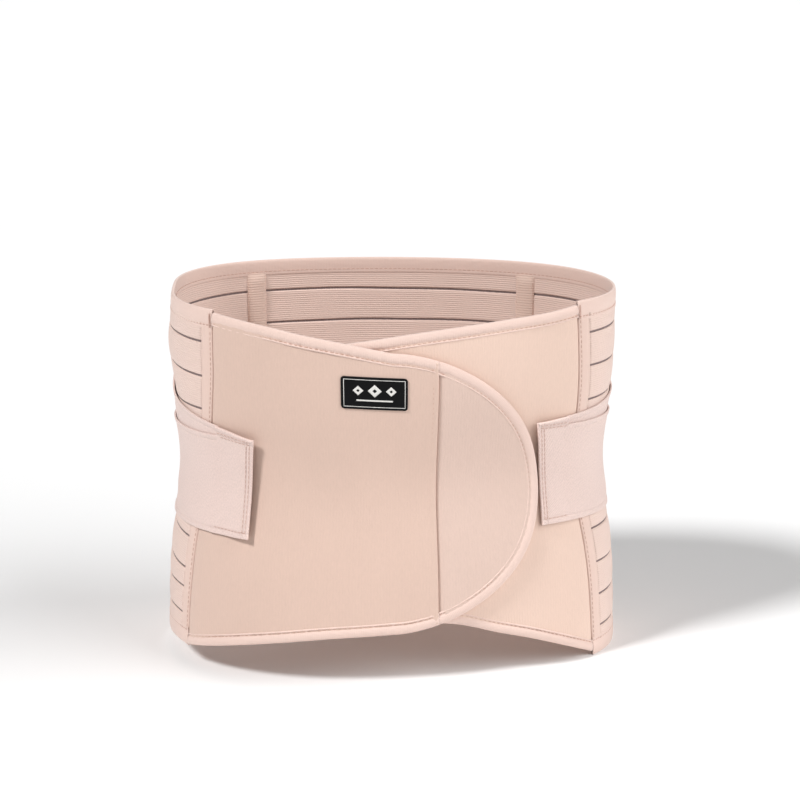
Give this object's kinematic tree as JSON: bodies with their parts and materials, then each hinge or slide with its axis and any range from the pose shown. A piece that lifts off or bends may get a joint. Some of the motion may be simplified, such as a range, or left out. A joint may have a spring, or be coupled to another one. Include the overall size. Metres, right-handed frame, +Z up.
{
  "type": "back brace",
  "caption": "Wrap-around elastic back brace with ribbed bands, padded overlapping front panels, a rounded closing flap and pull straps with grip tabs.",
  "frame": {"origin": "middle of the box in X and Y, on the plane that the bottom edge stands on", "axes": "+Z up along the wearer's back, -Y to the front where the panels close, +X to the side that the outer panel closes towards"},
  "size_m": [0.3145, 0.2436, 0.25],
  "materials": {
    "elastic": "matt ribbed elastic",
    "mesh": "matt open mesh",
    "binding": "soft brushed elastic binding",
    "brushed_face": "matt brushed loop fabric",
    "lining": "smooth knit lining",
    "foam": "foam laminate",
    "strap": "woven elastic webbing",
    "hook": "hook tape",
    "label": "smooth woven label",
    "steel": "brushed flat spring steel",
    "plastic": "moulded stay tips"
  },
  "bodies": {
    "back": {"elastic_band_01": "elastic", "elastic_band_02": "elastic", "elastic_band_03": "elastic", "elastic_band_04": "elastic", "elastic_band_05": "elastic", "elastic_band_06": "elastic", "elastic_band_07": "elastic", "elastic_band_08": "elastic", "elastic_band_09": "elastic", "elastic_band_10": "elastic", "elastic_band_11": "elastic", "mesh_strips": "mesh", "top_trim": "binding", "bottom_trim": "binding", "left_seam_tape": "elastic", "right_seam_tape": "elastic", "left_stay_casing": "lining", "right_stay_casing": "lining", "left_stay": "steel", "right_stay": "steel", "stay_tips": "plastic", "left_strap_upper": "strap", "left_strap_lower": "strap", "right_strap_upper": "strap", "right_strap_lower": "strap", "left_anchor_tape": "binding", "right_anchor_tape": "binding"},
    "outer_panel": {"outer_panel_face": "brushed_face", "outer_panel_foam": "foam", "outer_panel_lining": "lining", "outer_panel_top_binding": "binding", "outer_panel_bottom_binding": "binding", "label": "label"},
    "flap_end": {"flap_end_face": "brushed_face", "flap_end_foam": "foam", "flap_end_hook_pad": "hook", "flap_end_binding": "binding"},
    "inner_panel": {"inner_panel_face": "brushed_face", "inner_panel_foam": "foam", "inner_panel_lining": "lining", "inner_panel_top_binding": "binding", "inner_panel_bottom_binding": "binding"},
    "left_tab": {"left_tab": "strap", "left_tab_hook": "hook"},
    "right_tab": {"right_tab": "strap", "right_tab_hook": "hook"}
  },
  "joints": [
    {"name": "outer_panel_open", "type": "hinge", "parent": "back", "child": "outer_panel", "pos_m": [-0.12935, -0.0817, 0.125], "axis": [-0.0885, 0.0903, -0.992], "range_deg": [0, 110]},
    {"name": "inner_panel_open", "type": "hinge", "parent": "back", "child": "inner_panel", "pos_m": [0.13232, -0.05625, 0.125], "axis": [-0.0623, -0.0492, 0.9968], "range_deg": [0, 55]},
    {"name": "flap_end_lift", "type": "hinge", "parent": "outer_panel", "child": "flap_end", "pos_m": [0.02859, -0.11153, 0.12925], "axis": [0.0022, -0.0089, -1], "range_deg": [0, 90]},
    {"name": "left_tab_peel", "type": "hinge", "parent": "outer_panel", "child": "left_tab", "pos_m": [-0.11969, -0.08859, 0.13235], "axis": [-0.0973, 0.0802, -0.992], "range_deg": [0, 70]},
    {"name": "right_tab_peel", "type": "hinge", "parent": "inner_panel", "child": "right_tab", "pos_m": [0.12122, -0.06285, 0.1363], "axis": [-0.048, -0.0512, 0.9975], "range_deg": [0, 70]}
  ],
  "couplings": [
    {"joint": "inner_panel_open", "follows": "outer_panel_open", "ratio": 0.5}
  ]
}
